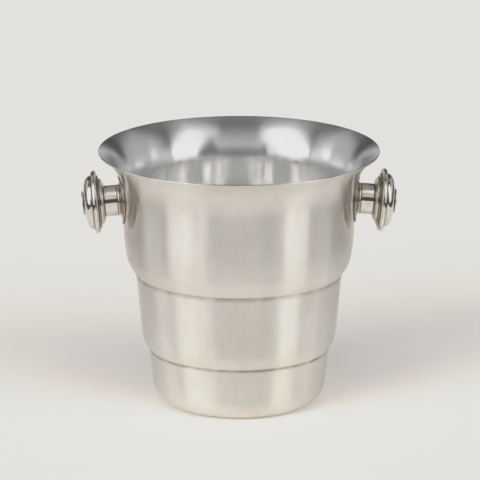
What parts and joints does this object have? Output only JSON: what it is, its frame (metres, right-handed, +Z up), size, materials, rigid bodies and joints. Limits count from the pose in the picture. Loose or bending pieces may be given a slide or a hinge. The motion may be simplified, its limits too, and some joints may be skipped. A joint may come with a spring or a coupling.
{
  "type": "champagne bucket",
  "caption": "Silver-plated champagne bucket with three stepped tiers, a flared mouth and a turned knob handle on each side.",
  "frame": {"origin": "on the floor under the middle of the bucket", "axes": "+Z up out of the mouth, the two handles along +X and -X"},
  "size_m": [0.2432, 0.2172, 0.2],
  "materials": {
    "satin_silver": "silver plate on brass, worn to a soft satin with fine upright brushing",
    "polished_silver": "silver plate on brass, polished bright",
    "plain_brass": "turned, unplated, dulled"
  },
  "bodies": {
    "root": {"bucket_body": "satin_silver", "left_wall_flange": "polished_silver", "left_neck_tube": "polished_silver", "left_neck_collar": "polished_silver", "left_back_plate": "polished_silver", "left_knob_disc": "polished_silver", "left_knob_dome": "polished_silver", "left_end_button": "polished_silver", "left_threaded_stud": "plain_brass", "left_saddle_washer": "plain_brass", "left_cap_nut": "plain_brass", "right_wall_flange": "polished_silver", "right_neck_tube": "polished_silver", "right_neck_collar": "polished_silver", "right_back_plate": "polished_silver", "right_knob_disc": "polished_silver", "right_knob_dome": "polished_silver", "right_end_button": "polished_silver", "right_threaded_stud": "plain_brass", "right_saddle_washer": "plain_brass", "right_cap_nut": "plain_brass"}
  },
  "joints": []
}
